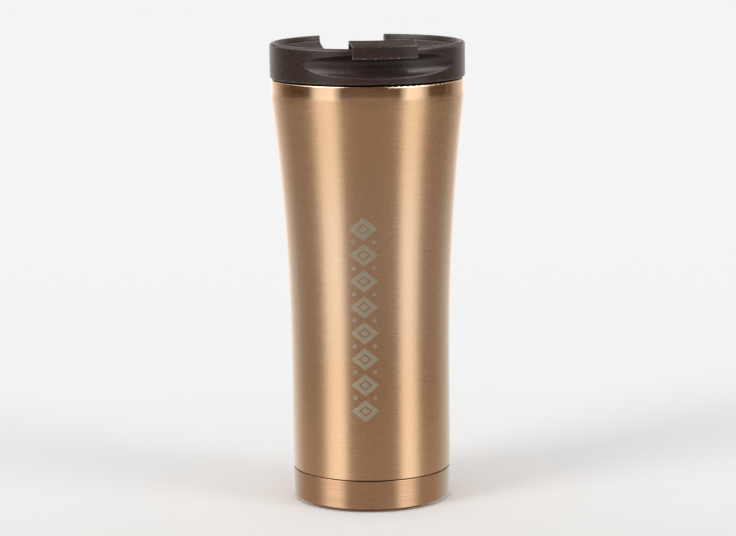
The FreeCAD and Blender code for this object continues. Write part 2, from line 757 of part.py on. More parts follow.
def lid_shell():
    """The lid's upper moulding: rim, dish, channel with hinge ears, drink chute and finger scoop."""
    body = new_body("lid_shell")
    revolve(body, draw(body, "XZ_Plane", [lid_section()]))

    # trough that becomes the lever's channel, closed at the front and let into the rim behind
    outer = d.channel_half + d.channel_wall
    front = d.channel_front + d.channel_wall
    back = d.lid_radius - 1.0
    trough_low = d.channel_floor - d.channel_wall
    pad(body, draw(body, "XY_Plane", [
        Outline(-outer, -root(square(front) - square(outer)))
        .arc(outer, -root(square(front) - square(outer)), front, 1)
        .line(outer, root(square(back) - square(outer)))
        .arc(-outer, root(square(back) - square(outer)), back, 1)
    ], trough_low), d.dish_edge - d.dish_sag - 0.5 - trough_low)

    # thicker wall behind the finger scoop
    centre_y, floor_r = scoop_axis_and_floor()
    inner_r = floor_r - d.channel_wall
    outer_r = d.lid_radius - 1.0
    # where the inner arc, centred on the scoop's axis, meets the wall's middle
    meet_y = (square(inner_r) - square(outer_r) - square(centre_y)) / (centre_y * 2)
    meet_x = root(square(outer_r) - square(meet_y))
    fill_low = d.flange_high + 0.4
    pad(body, draw(body, "XY_Plane", [
        Outline(-meet_x, -meet_y)
        .arc(meet_x, -meet_y, outer_r, 1)
        .close_arc(inner_r, -1)
    ], fill_low), d.dish_edge - 0.6 - fill_low)

    # chutes below the drink slot and the vent, down to the plug's floor
    chute = d.chute_wall
    depth = d.channel_floor - 1.0 - d.plug_floor
    pad(body, draw(body, "XY_Plane", [
        obround(d.slot_y, d.slot_half + chute, d.slot_round + chute)
    ], d.plug_floor), depth)
    pad(body, circle_sketch(body, "XY_Plane", as_size(0), d.vent_y, d.vent_radius + chute,
                            d.plug_floor), depth)

    # channel, cut down to its floor; it runs out through the rim behind
    half = d.channel_half
    corner = -root(square(d.channel_front) - square(half))
    beyond = d.lid_radius + 4
    channel = draw(body, "XY_Plane", [
        Outline(-half, corner)
        .arc(half, corner, d.channel_front, 1)
        .line(half, beyond)
        .line(-half, beyond)
    ], d.channel_floor + d.collar_rise)
    pocket(body, channel, as_size(20), up=True)
    # the lowest layer of the channel leaves a raised collar round the drink slot
    collar = d.collar_width
    layer = draw(body, "XY_Plane", [
        Outline(-half, corner)
        .arc(half, corner, d.channel_front, 1)
        .line(half, beyond)
        .line(-half, beyond),
        obround(d.slot_y, d.slot_half + collar, d.slot_round + collar),
    ], d.channel_floor)
    pocket(body, layer, d.collar_rise + 0.01, up=True)

    # drink slot and vent, right through
    top = d.channel_floor + 4
    pocket(body, draw(body, "XY_Plane", [obround(d.slot_y, d.slot_half, d.slot_round)], top),
           as_size(30))
    pocket(body, circle_sketch(body, "XY_Plane", as_size(0), d.vent_y, d.vent_radius, top),
           as_size(30))

    # hinge ears standing in the channel, and the pin's hole through them
    ear = d.barrel_radius
    pad(body, draw(body, "YZ_Plane", [
        Outline(-ear, d.channel_floor - 0.5)
        .line(ear, d.channel_floor - 0.5)
        .line(ear, d.hinge_z)
        .arc(-ear, d.hinge_z, ear * NEAR, 1)
    ]), (half + 0.5) * 2, both_sides=True)
    pocket(body, draw(body, "YZ_Plane", [
        Outline(-ear - 0.5, d.channel_floor)
        .line(ear + 0.5, d.channel_floor)
        .line(ear + 0.5, d.hinge_z + ear + 1)
        .line(-ear - 0.5, d.hinge_z + ear + 1)
    ]), d.ear_inner * 2, both_sides=True)
    pocket(body, circle_sketch(body, "YZ_Plane", as_size(0), d.hinge_z, d.pin_radius),
           (d.pin_half + 0.6) * 2, both_sides=True)

    # finger scoop: a rounded V turned about an axis behind the lid's own
    cut_scoop(body, centre_y, floor_r)

    # moulded roundings: the notch behind the hinge with the dish's edges beside it, and the scoop
    dish_middle = d.dish_edge.value - d.dish_sag.value
    rim_side_top = d.rim_top.value - d.rim_round.value

    def notch(*points):
        middle = points[1]
        return (all_near(points, off_middle, half.value)
                and middle.y > 0 and middle.z > dish_middle + 0.2)

    def scoop_edge(*points):
        middle = points[1]
        return (all_near(points, off_axis, d.lid_radius.value)
                and middle.y < 0 and d.flange_high.value < middle.z < rim_side_top - 0.1)

    round_edges(body, d.notch_round.value, notch)
    round_edges(body, d.scoop_edge_round.value, scoop_edge)
    return body


def cut_scoop(body, centre_y, floor_r):
    """The scoop's section is a V with a rounded bottom, open towards -Y."""
    slope, bottom = d.scoop_slope, d.scoop_round
    reach = d.scoop_depth + 4
    # the V's flanks touch the bottom's circle at these offsets from its centre
    hypotenuse = root(square(slope) + 1)
    touch_out = bottom * slope / hypotenuse
    touch_up = bottom / hypotenuse
    floor_y = centre_y - floor_r
    circle_y = floor_y - bottom
    # direction of the flank is (1, slope); the touching point lies square to it
    near_y = circle_y + touch_out
    outer_y = near_y - reach
    outer_rise = touch_up + reach * slope
    z = d.scoop_height
    sketch = draw(body, "YZ_Plane", [
        Outline(outer_y, z - outer_rise)
        .line(near_y, z - touch_up)
        .arc(near_y, z + touch_up, bottom, 1)
        .line(outer_y, z + outer_rise)
    ])
    # vertical construction line through the scoop's axis
    axis = sketch.addGeometry(
        Part.LineSegment(V(centre_y.value, 150, 0), V(centre_y.value, 210, 0)), True)
    fix_corner(sketch, axis, 1, centre_y, as_size(150))
    fix_corner(sketch, axis, 2, centre_y, as_size(210))
    made = feature(body, "Groove", sketch)
    made.ReferenceAxis = (sketch, ["Axis0"])
    made.Angle = 150.0
    made.Midplane = True
    return solve(body, made, False)


def lid_plug():
    """The lid's lower moulding: flange, threaded wall, gasket groove and closed floor."""
    body = new_body("lid_plug")
    wall, taper = as_size(1.6), as_size(0.7)
    low_r = d.male_root - 0.3
    flange_r = d.skirt_inner - 0.1
    step = d.groove_high + wall
    narrow = d.groove_radius - wall
    revolve(body, draw(body, "XZ_Plane", [
        Outline(0, d.plug_low)
        .line(low_r - taper, d.plug_low)
        .line(low_r, d.plug_low + taper)
        .line(low_r, d.groove_low)
        .line(d.groove_radius, d.groove_low)
        .line(d.groove_radius, d.groove_high)
        .line(d.male_root, d.groove_high)
        .line(d.male_root, d.flange_low)
        .line(flange_r, d.flange_low)
        .line(flange_r, d.flange_high)
        .line(d.plug_inner, d.flange_high)
        .line(d.plug_inner, step + wall)
        .line(narrow, step)
        .line(narrow, d.plug_floor)
        .line(0, d.plug_floor)
    ]))
    thread(body, d.male_root, d.male_crest, d.male_height, d.male_turns, half_crest=0.6)
    top = d.plug_floor + 1
    through = as_size(5)
    pocket(body, draw(body, "XY_Plane", [obround(d.slot_y, d.slot_half, d.slot_round)], top),
           through)
    pocket(body, circle_sketch(body, "XY_Plane", as_size(0), d.vent_y, d.vent_radius, top), through)
    return body


def mouth_gasket():
    """Silicone ring with two lips, in the plug's groove; it seals against the liner's seat."""
    body = new_body("mouth_gasket")
    play, bevel, lip_height = as_size(0.1), as_size(0.6), as_size(0.9)
    inner = d.groove_radius + play
    low = d.groove_low + play
    high = d.groove_high - play
    lip = d.gasket_radius
    face = lip - 0.7
    waist = lip - bevel
    middle = (low + high) / 2
    revolve(body, draw(body, "XZ_Plane", [
        Outline(inner, low)
        .line(face, low)
        .line(lip, low + bevel)
        .line(lip, low + lip_height)
        .arc(waist, middle, lip_height, -1)
        .arc(lip, high - lip_height, lip_height, -1)
        .line(lip, high - bevel)
        .line(face, high)
        .line(inner, high)
    ]))
    return body


def hinge_pin():
    """Stainless pin through the ears and the lever's barrel."""
    body = new_body("hinge_pin")
    rod = circle_sketch(body, "YZ_Plane", as_size(0), d.hinge_z, d.pin_radius)
    pad(body, rod, d.pin_half * 2, both_sides=True)
    round_edges(body, 0.35, rim_of_disc("x"))
    return body


# ---------------------------------------------------------------- lever


def plate_under(radius):
    """Height of the tab plate's underside at a radius."""
    return d.tab_top - d.tab_plate - (radius - d.tab_back) * d.tab_slope


def tab_section():
    """Section of the tab in the YZ plane: a sloping plate over the rim, and a lip outside it."""
    outer, inner, back = -d.tab_outer, -d.tab_inner, -d.tab_back
    slope, front_round, back_round = d.tab_slope, d.tab_round, d.tab_round_back
    crest = d.tab_top - (d.tab_outer - d.tab_back) * slope
    run = root(square(slope) + 1)
    return (
        Outline(inner, d.tab_low)
        .line(inner, plate_under(d.tab_inner))
        .line(back, plate_under(d.tab_back))
        .line(back, d.tab_top - back_round)
        .arc(back - back_round / run, d.tab_top - back_round * slope / run,
             back_round * (run - slope), 1)
        .line(outer + front_round / run, crest + front_round * slope / run)
        .arc(outer, crest - front_round, front_round * (run + slope), 1)
        .line(outer, d.tab_low)
    )


def step_section():
    """Section of the step inside the rim, from the arm's front end up to the rim's level."""
    back = -d.tab_back
    over = d.step_play - d.rim_inner
    front = d.step_play - d.channel_front
    shoulder = d.dish_edge + d.shoulder_rise
    top = d.rim_top - d.step_play
    bevel, hollow = as_size(0.9), as_size(1.2)
    tail = back + d.arm_overlap
    return (
        Outline(over, top)
        .line(over, shoulder + bevel)
        .line(over + bevel, shoulder)
        .line(front, shoulder)
        .line(front, d.arm_under)
        .line(tail, d.arm_under)
        .line(tail, d.arm_front)
        .line(back + hollow, d.arm_front)
        .arc(back, d.arm_front + hollow, hollow * NEAR, -1)
        .line(back, top)
    )


def web_section(outer):
    """Section of a web that stands on the step and carries the tab's plate, to this radius."""
    low = d.rim_top - d.step_play - 1
    into_plate = d.tab_plate / 2
    return (
        Outline(-outer, low)
        .line(-d.tab_back, low)
        .line(-d.tab_back, plate_under(d.tab_back) + into_plate)
        .line(-outer, plate_under(outer) + into_plate)
    )


def flip_lever():
    """Flat lever: hinge barrel, arm in the channel, and a tab that hooks over the rim."""
    body = new_body("flip_lever")
    tab_degrees, web_degrees = 60.0, 34.0
    revolve(body, draw(body, "YZ_Plane", [step_section()]), degrees=tab_degrees)
    middle_web = web_section(d.rim_inner - d.step_play)
    revolve(body, draw(body, "YZ_Plane", [middle_web]), degrees=web_degrees)
    back_wall = web_section(d.tab_back + d.tab_plate)
    revolve(body, draw(body, "YZ_Plane", [back_wall]), degrees=tab_degrees)
    revolve(body, draw(body, "YZ_Plane", [tab_section()]), degrees=tab_degrees)

    barrel = d.barrel_radius
    join = d.arm_under - d.hinge_z
    touch = root(square(barrel) - square(join))
    rise = d.arm_back - d.hinge_z - 0.3
    crest = root(square(barrel) - square(rise))
    arm_end = d.arm_overlap - d.tab_back - 0.2
    # the arm's top runs level at the front, then falls to its thinner end beside the barrel
    level_end, thin_end = as_size(-24), as_size(-3.4)
    pad(body, draw(body, "YZ_Plane", [
        Outline(arm_end, d.arm_under)
        .line(-touch, d.arm_under)
        .arc(0, d.hinge_z - barrel, barrel, 1)
        .arc(crest, d.hinge_z + rise, barrel, 1)
        .arc(-crest, d.hinge_z + rise, barrel, 1)
        .line(thin_end, d.arm_back)
        .line(level_end, d.arm_front)
        .line(arm_end, d.arm_front)
    ]), d.lever_half * 2, both_sides=True)

    # plan: parallel sides at the tab, drawn in between the hinge ears
    wide, narrow, far = d.lever_half, d.lever_neck, d.lever_half + 10
    before_tab = -d.tab_outer - 3
    waist_back, waist_front, waist_start = 6, -6.5, -13
    sides = []
    for sign in (1, -1):
        sides.append(
            Outline(wide * sign, before_tab)
            .line(far * sign, before_tab)
            .line(far * sign, waist_back)
            .line(narrow * sign, waist_back)
            .line(narrow * sign, waist_front)
            .line(wide * sign, waist_start)
        )
    pocket(body, draw(body, "XY_Plane", sides, d.tab_top + 2), as_size(20))

    # bore for the pin, and blind holes for the two stoppers' stems
    bore = circle_sketch(body, "YZ_Plane", as_size(0), d.hinge_z, d.pin_radius + d.pin_play)
    pocket(body, bore, d.lever_half * 2, both_sides=True)
    for y, radius in ((d.slot_y, d.stem_radius), (d.vent_y, d.vent_radius)):
        hole = circle_sketch(body, "XY_Plane", as_size(0), y, radius, d.arm_under)
        pocket(body, hole, d.stem_depth, up=True)

    # moulded roundings along the sides, all but those of the step, which stays sharp
    step_low = d.arm_front.value + 0.1
    step_high = d.rim_top.value - 0.1

    def side_edge(*points):
        middle = points[1]
        in_step = (off_axis(middle) < d.rim_inner.value and middle.z < step_high
                   and (middle.z > step_low or off_axis(middle) > d.tab_back.value - 0.1))
        return all_near(points, off_middle, wide.value) and not in_step

    round_edges(body, d.lever_round.value, side_edge)
    return body


def drink_stopper():
    """Silicone plug under the lever: stem, flange on the collar, tapered plug in the slot."""
    body = new_body("drink_stopper")
    flange = d.slot_half + 1.5
    pad(body, draw(body, "XY_Plane", [
        obround(d.slot_y, flange, d.slot_round + 1.5)
    ], d.stopper_seat), d.arm_under - d.stopper_seat)
    pad(body, circle_sketch(body, "XY_Plane", as_size(0), d.slot_y, d.stem_radius - 0.05,
                            d.arm_under), d.stem_depth - 0.1)
    plug = feature(body, "Pad", draw(body, "XY_Plane", [
        obround(d.slot_y, d.slot_half - 0.35, d.slot_round - 0.35)
    ], d.stopper_seat))
    length = d.stopper_seat - d.stopper_low
    plug.Length = length.value
    bind(plug, "Length", length)
    plug.Reversed = True
    plug.TaperAngle = -5.0
    solve(body, plug, True)
    return body


def vent_stopper():
    """Small silicone nub that closes the vent."""
    body = new_body("vent_stopper")
    stem = d.vent_radius - 0.05
    pad(body, circle_sketch(body, "XY_Plane", as_size(0), d.vent_y, stem, d.arm_under),
        d.stem_depth - 0.1)
    collar = d.channel_floor + 0.6
    pad(body, circle_sketch(body, "XY_Plane", as_size(0), d.vent_y, d.vent_radius + 1.2, collar),
        d.arm_under - collar)
    nub = feature(body, "Pad", circle_sketch(
        body, "XY_Plane", as_size(0), d.vent_y, d.vent_radius - 0.4, collar))
    nub.Length = 1.4
    nub.Reversed = True
    nub.TaperAngle = -8.0
    solve(body, nub, True)
    return body


# ---------------------------------------------------------------- build, check and write

PIECES = [
    outer_shell, inner_liner, vacuum_base, sealing_bead, getter_capsule, getter_clip,
    radiation_foil, base_cover, base_adhesive, foot_pad,
    lid_shell, lid_plug, hinge_pin, mouth_gasket,
    flip_lever, drink_stopper, vent_stopper,
]


def check(bodies):
    doc.recompute()
    for thing in doc.Objects:
        if any(state in ("Invalid", "Error") for state in thing.State):
            raise RuntimeError(f"{thing.Label} is {thing.State}")
    for body in bodies:
        shape = body.Shape
        if shape.isNull() or not shape.isValid() or shape.Volume <= 0:
            raise RuntimeError(f"{body.Label} has no valid solid")


def write(bodies):
    os.makedirs(PARTS, exist_ok=True)
    for body in bodies:
        body.Shape.exportStep(os.path.join(PARTS, body.Label + ".step"))
        print(f"{body.Label:16s} {len(body.Shape.Solids)} solid  {body.Shape.Volume:10.1f} mm3")


made_bodies = [make() for make in PIECES]
check(made_bodies)
write(made_bodies)
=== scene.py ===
"""Looks for the insulated tumbler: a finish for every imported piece, a soft studio and a camera.

Metres, +Z up, in the part's own frame: the origin is under the foot, and the drinking side faces -Y.
Every finish is drawn in each piece's own coordinates, so it stays on the piece as the lid moves.
"""

import math

import bmesh
import bpy
from mathutils import Matrix

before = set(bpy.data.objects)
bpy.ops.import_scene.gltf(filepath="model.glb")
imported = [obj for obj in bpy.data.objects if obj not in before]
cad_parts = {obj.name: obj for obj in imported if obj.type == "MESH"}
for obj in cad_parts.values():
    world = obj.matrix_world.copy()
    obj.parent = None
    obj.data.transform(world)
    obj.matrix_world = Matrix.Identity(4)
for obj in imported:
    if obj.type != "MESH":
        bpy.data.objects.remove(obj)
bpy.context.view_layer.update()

MM = 0.001
QUARTER_TURN = 0.25
PROBES = 6   # rays that a shaded point sends out to learn how open its place is


def shade_of(colour, share):
    return tuple(part * share for part in colour)


# ---------------------------------------------------------------- writing finishes as formulas

class Field:
    """A value that varies over a surface. Arithmetic on it adds Math nodes to its material."""

    def __init__(self, finish, socket):
        self.finish = finish
        self.socket = socket

    def math(self, operation, *others):
        node = self.finish.add("ShaderNodeMath", operation=operation)
        for entry, value in zip(node.inputs, (self, *others)):
            self.finish.feed(entry, value)
        return Field(self.finish, node.outputs[0])

    def __add__(self, other):
        return self.math("ADD", other)

    def __sub__(self, other):
        return self.math("SUBTRACT", other)

    def __mul__(self, other):
        return self.math("MULTIPLY", other)

    def __truediv__(self, other):
        return self.math("DIVIDE", other)

    def size(self):
        return self.math("ABSOLUTE")

    def rise(self, low, high):
        """0 up to low, 1 from high on, and a smooth rise between them. low may be the larger."""
        node = self.finish.add("ShaderNodeMapRange", interpolation_type="SMOOTHSTEP")
        self.finish.feed(node.inputs["Value"], self)
        node.inputs["From Min"].default_value = low
        node.inputs["From Max"].default_value = high
        return Field(self.finish, node.outputs["Result"])

    def spread(self, low, high):
        """A value from 0 to 1, stretched to run from low to high."""
        return self * (high - low) + low

    def ramp(self, *stops):
        """A colour that runs through the (place, colour) stops."""
        node = self.finish.add("ShaderNodeValToRGB")
        self.finish.feed(node.inputs["Fac"], self)
        elements = node.color_ramp.elements
        while len(elements) < len(stops):
            elements.new(1.0)
        for element, (place, colour) in zip(elements, stops):
            element.position = place
            element.color = (*colour, 1.0)
        return Field(self.finish, node.outputs["Color"])


class Finish:
    """A material: its Principled shader, and short names for the nodes that the finishes use."""

    def __init__(self, name, **uniform):
        self.material = bpy.data.materials.new(name)
        self.material.use_nodes = True
        self.tree = self.material.node_tree
        self.shader = self.tree.nodes["Principled BSDF"]
        for socket, value in uniform.items():
            self.shader.inputs[socket.replace("_", " ")].default_value = value
        self.place = self.add("ShaderNodeTexCoord").outputs["Object"]
        axes = self.add("ShaderNodeSeparateXYZ")
        self.feed(axes.inputs[0], self.place)
        self.x, self.y, self.z = (Field(self, out) for out in axes.outputs)

    def add(self, kind, **settings):
        node = self.tree.nodes.new(kind)
        for name, value in settings.items():
            setattr(node, name, value)
        return node

    def feed(self, entry, value):
        if isinstance(value, Field):
            value = value.socket
        if isinstance(value, bpy.types.NodeSocket):
            self.tree.links.new(value, entry)
        else:
            entry.default_value = value

    def scaled(self, per_metre):
        node = self.add("ShaderNodeVectorMath", operation="MULTIPLY")
        self.feed(node.inputs[0], self.place)
        node.inputs[1].default_value = per_metre
        return node.outputs[0]

    def noise(self, x, y, z, detail=2.0, roughness=0.5):
        """Noise from 0 to 1 with this many features per metre along each axis."""
        node = self.add("ShaderNodeTexNoise")
        self.feed(node.inputs["Vector"], self.scaled((x, y, z)))
        node.inputs["Scale"].default_value = 1.0
        node.inputs["Detail"].default_value = detail
        node.inputs["Roughness"].default_value = roughness
        return Field(self, node.outputs["Fac"])

    def cells(self, per_metre, feature="F1"):
        """Distance to the nearest of scattered points, or to the border between two of them."""
        node = self.add("ShaderNodeTexVoronoi", feature=feature)
        self.feed(node.inputs["Vector"], self.scaled((per_metre,) * 3))
        node.inputs["Scale"].default_value = 1.0
        return Field(self, node.outputs["Distance"])

    def mix(self, amount, first, second):
        """The first colour where amount is 0, the second where it is 1."""
        node = self.add("ShaderNodeMix", data_type="RGBA")
        self.feed(node.inputs["Factor"], amount)
        for entry, colour in ((node.inputs[6], first), (node.inputs[7], second)):
            self.feed(entry, colour if isinstance(colour, Field) else (*colour, 1.0))
        return Field(self, node.outputs[2])

    def bump(self, height, depth, strength=1.0, under=None):
        """A normal that tilts as if the surface stood up by depth metres where height is 1."""
        node = self.add("ShaderNodeBump")
        self.feed(node.inputs["Height"], height)
        node.inputs["Distance"].default_value = depth
        node.inputs["Strength"].default_value = strength
        if under is not None:
            self.feed(node.inputs["Normal"], under)
        return node.outputs["Normal"]

    def sway(self, amount):
        """A normal that leans along the brushing, round Z, by this share of its own length."""
        flat = self.add("ShaderNodeNewGeometry")
        along = self.add("ShaderNodeTangent", direction_type="RADIAL", axis="Z")
        lean = self.add("ShaderNodeVectorMath", operation="SCALE")
        total = self.add("ShaderNodeVectorMath", operation="ADD")
        unit = self.add("ShaderNodeVectorMath", operation="NORMALIZE")
        self.feed(lean.inputs[0], along.outputs["Tangent"])
        self.feed(lean.inputs["Scale"], amount)
        self.feed(total.inputs[0], flat.outputs["Normal"])
        self.feed(total.inputs[1], lean.outputs[0])
        self.feed(unit.inputs[0], total.outputs[0])
        return unit.outputs[0]

    def open_share(self, reach, inside=False):
        """How much of the half sphere over a point is free within reach metres.

        With inside=True the half sphere lies under the surface, and only this piece counts.
        """
        node = self.add("ShaderNodeAmbientOcclusion", inside=inside, only_local=inside, samples=PROBES)
        node.inputs["Distance"].default_value = reach
        return Field(self, node.outputs["AO"])

    def sharpness(self, radius):
        """0 on flat faces and up to 1 on the edges of a solid, rounded or sharp.

        From just under a flat face nothing is within reach, and near an edge the next face is.
        """
        return self.open_share(radius, inside=True).rise(0.97, 0.68)

    def wrap_around_z(self, anisotropy):
        """Brushing that runs round the Z axis, so that highlights stretch up and down."""
        turn = self.add("ShaderNodeTangent", direction_type="RADIAL", axis="Z")
        self.feed(self.shader.inputs["Tangent"], turn.outputs["Tangent"])
        self.shader.inputs["Anisotropic"].default_value = anisotropy
        self.shader.inputs["Anisotropic Rotation"].default_value = QUARTER_TURN

    def set(self, **varying):
        """Puts fields and values on the shader's sockets, and gives the finished material."""
        for socket, value in varying.items():
            self.feed(self.shader.inputs[socket.replace("_", " ")], value)
        return self.material


# ---------------------------------------------------------------- metal finishes

COPPER_DARK = (0.735, 0.438, 0.255)
COPPER_LIGHT = (0.865, 0.538, 0.322)
# painted reflection: a paler colour round the middle of the cup's height
MIDDLE_PAINTED_REFLECTION = (0.86, 0.590, 0.415)
# painted reflection: a lighter colour low down on the cup
LOW_PAINTED_REFLECTION = (0.92, 0.575, 0.345)
# painted reflection: a paler colour on the neck under the lid
NECK_PAINTED_REFLECTION = (0.95, 0.640, 0.420)
SEAM_SHADOW = (0.05, 0.035, 0.025)
ETCHED_DARK = (0.50, 0.43, 0.31)
ETCHED_LIGHT = (0.62, 0.54, 0.40)
SPUN_DARK = (0.64, 0.365, 0.21)
SPUN_LIGHT = (0.76, 0.45, 0.27)
SCUFFED = (0.42, 0.25, 0.15)

# heights over the foot where something on the cup begins, and where it is full
SEAM = (14.25 * MM, 14.12 * MM)
LOW_REFLECTION_HEIGHTS = (80 * MM, 30 * MM)
PALE_FROM_BELOW = (40 * MM, 95 * MM)
PALE_FROM_ABOVE = (165 * MM, 110 * MM)
NECK = (176.7 * MM, 179.3 * MM)
BASE_SCUFFS = (4 * MM, 0.8 * MM)
NECK_RAGGED = 0.8 * MM   # how far the neck's border wanders from line to line

# how far the shading normals lean: to both sides in the hairlines, and to one side all over the
# base cover, by about 2.6 degrees. That puts its highlights where the photo has them, and the
# shape is left as it is
HAIRLINE_LEAN = 0.009
BASE_LEAN = 0.045


def hairlines(finish, fine=1900.0, coarse=1100.0, run=150.0):
    """Short fine scratches round the Z axis, and longer ones among them, from 0 to 1."""
    thin = finish.noise(run, run, fine, detail=2.0, roughness=0.6)
    thick = finish.noise(run / 5, run / 5, coarse, detail=3.0)
    return (thin * 0.65 + thick * 0.35).rise(0.22, 0.78)


def mark_mask(finish):
    """A plain column of lozenges with dots between them, as a mask from 0 to 1."""
    low, high, pitch = 39 * MM, 129 * MM, 11.25 * MM
    half_width, half_height, dot = 6.2 * MM, 5.0 * MM, 0.9 * MM
    turn = math.radians(-14.5)
    radius = 35 * MM
    blur = 0.05
    ring_inside, ring_outside = 0.34, 0.46
    around = (finish.x.math("ARCTAN2", finish.y * -1.0) - turn) * radius
    along = (finish.z - low) / pitch
    in_cell = (along.math("FRACT") - 0.5) * pitch
    lozenge = around.size() / half_width + in_cell.size() / half_height
    ring = lozenge.rise(ring_inside - blur, ring_inside) * lozenge.rise(ring_outside + blur, ring_outside)
    solid = lozenge.rise(1.0, 1.0 - blur) * (ring * -1.0 + 1.0)
    solid = solid * finish.z.rise(low, low + 0.1 * MM) * finish.z.rise(high, high - 0.1 * MM)
    from_border = (in_cell.size() - pitch / 2) / dot
    beside = (around.size() - half_width * 0.70) / dot
    dots = (beside * beside + from_border * from_border).math("SQRT").rise(1.12, 0.88)
    half = pitch / 2
    between = finish.z.rise(low + half * 0.9, low + half) * finish.z.rise(high - half * 0.9, high - half)
    return solid.math("MAXIMUM", dots * between)


def brushed_copper():
    """Copper-toned steel, brushed round the cup. Paler bands round its middle, low down and at the neck
    are painted reflection. The neck under the lid is also burnished: smoother and less brushed.
    """
    finish = Finish("brushed_copper", Metallic=1.0)
    lines = hairlines(finish)
    clouds = finish.noise(26, 26, 40, detail=3.0)
    smears = finish.noise(90, 90, 12, detail=2.0)
    frost = finish.noise(2200, 2200, 2200, detail=2.0)
    neck = (finish.z + (lines - 0.5) * NECK_RAGGED).rise(*NECK)
    seam = finish.z.rise(*SEAM)
    middle_painted_reflection = finish.z.rise(*PALE_FROM_BELOW) * finish.z.rise(*PALE_FROM_ABOVE)
    mark = mark_mask(finish)
    colour = (lines * 0.7 + clouds * 0.3).ramp((0.10, COPPER_DARK), (0.90, COPPER_LIGHT))
    # painted reflection: the cup paler round the middle of its height
    colour = finish.mix(middle_painted_reflection * 0.60, colour, MIDDLE_PAINTED_REFLECTION)
    # painted reflection: the cup lighter low down
    colour = finish.mix(finish.z.rise(*LOW_REFLECTION_HEIGHTS) * 0.55, colour, LOW_PAINTED_REFLECTION)
    # painted reflection: the neck paler; its smoother, less brushed finish is set in the roughness and
    # normal below
    colour = finish.mix(neck, colour, NECK_PAINTED_REFLECTION)
    colour = finish.mix(seam, colour, SEAM_SHADOW)
    colour = finish.mix(mark, colour, frost.ramp((0.3, ETCHED_DARK), (0.8, ETCHED_LIGHT)))
    rough = lines.spread(0.25, 0.33) + clouds.spread(-0.02, 0.02)
    rough = rough - neck * smears.spread(0.13, 0.18) + seam * 0.4
    rough = rough + mark * frost.spread(0.16, 0.24)
    brushing = neck * -0.8 + 1.0
    finish.wrap_around_z(0.72)
    return finish.set(
        Base_Color=colour,
        Metallic=mark * -0.45 + 1.0,
        Roughness=rough,
        Normal=finish.sway((lines - 0.5) * brushing * HAIRLINE_LEAN),
    )


def base_copper():
    """The base cover: the same metal, spun smoother, with handling marks at its foot."""
    finish = Finish("base_copper", Metallic=1.0)
    lines = hairlines(finish, fine=3600.0, coarse=2200.0, run=60.0)
    clouds = finish.noise(45, 45, 70, detail=4.0)
    scuffs = finish.noise(420, 420, 900, detail=3.0).rise(0.58, 0.75) * finish.z.rise(*BASE_SCUFFS)
    wipes = finish.noise(700, 700, 60, detail=3.0).rise(0.60, 0.75)
    colour = (lines * 0.4 + clouds * 0.6).ramp((0.3, SPUN_DARK), (0.7, SPUN_LIGHT))
    colour = finish.mix(scuffs * 0.5, colour, SCUFFED)
    rough = clouds.spread(0.20, 0.27) + scuffs * 0.15 + wipes * 0.05
    finish.wrap_around_z(0.55)
    normal = finish.bump(lines, 0.015 * MM, strength=0.2, under=finish.sway(BASE_LEAN))
    return finish.set(Base_Color=colour, Roughness=rough, Normal=normal)


def steel(name, rough, dark, light, turned=True):
    """Plain stainless steel, with fine lines round Z where it was turned or drawn, or else along X."""
    finish = Finish(name, Metallic=1.0)
    if turned:
        lines = hairlines(finish, fine=2600.0, coarse=700.0, run=10.0)
        finish.wrap_around_z(0.5)
    else:
        lines = finish.noise(160, 2400, 2400, detail=3.0)
    clouds = finish.noise(60, 60, 60, detail=4.0)
    colour = (lines * 0.5 + clouds * 0.5).ramp((0.25, dark), (0.75, light))
    return finish.set(
        Base_Color=colour,
        Roughness=lines.spread(rough - 0.05, rough + 0.05) + clouds * 0.06,
        Normal=finish.bump(lines, 0.02 * MM, strength=0.3),
    )


def foil():
    """Bright foil with the soft creases of a sheet wound by hand."""
    finish = Finish("radiation_foil", Metallic=1.0)
    folds = finish.cells(70.0, "DISTANCE_TO_EDGE")
    creases = finish.noise(90, 90, 40, detail=5.0, roughness=0.65)
    normal = finish.bump(creases, 0.6 * MM, strength=0.6)
    normal = finish.bump(folds, 0.4 * MM, strength=0.4, under=normal)
    colour = creases.ramp((0.3, (0.70, 0.70, 0.71)), (0.7, (0.88, 0.88, 0.88)))
    return finish.set(Base_Color=colour, Roughness=creases.spread(0.12, 0.34), Normal=normal)


def getter():
    """Pressed getter powder: dark, grainy, faintly metallic."""
    finish = Finish("getter_alloy", Metallic=0.6)
    grains = finish.cells(5200.0)
    clumps = finish.noise(1400, 1400, 1400, detail=4.0)
    colour = (grains * 0.5 + clumps * 0.5).ramp((0.2, (0.10, 0.10, 0.105)), (0.8, (0.30, 0.30, 0.31)))
    normal = finish.bump(grains * 0.6 + clumps, 0.12 * MM, strength=0.7)
    return finish.set(Base_Color=colour, Roughness=clumps.spread(0.55, 0.8), Normal=normal)


def sealing_glass():
    """The fused bead that closes the evacuation hole: clouded glass with tiny bubbles."""
    finish = Finish("sealing_glass", IOR=1.52, Transmission_Weight=0.55)
    bubbles = finish.cells(2600.0).rise(0.28, 0.16)
    haze = finish.noise(700, 700, 700, detail=3.0)
    colour = finish.mix(bubbles, haze.ramp((0.3, (0.28, 0.34, 0.31)), (0.8, (0.45, 0.50, 0.47))),
                        (0.75, 0.78, 0.76))
    normal = finish.bump(haze + bubbles * 0.5, 0.15 * MM, strength=0.4)
    return finish.set(Base_Color=colour, Roughness=haze.spread(0.04, 0.22), Normal=normal)


# ---------------------------------------------------------------- plastic and rubber finishes

PLASTIC = (0.045, 0.0275, 0.0235)
PLASTIC_RUBBED = (0.250, 0.190, 0.165)
DUST = (0.45, 0.43, 0.40)


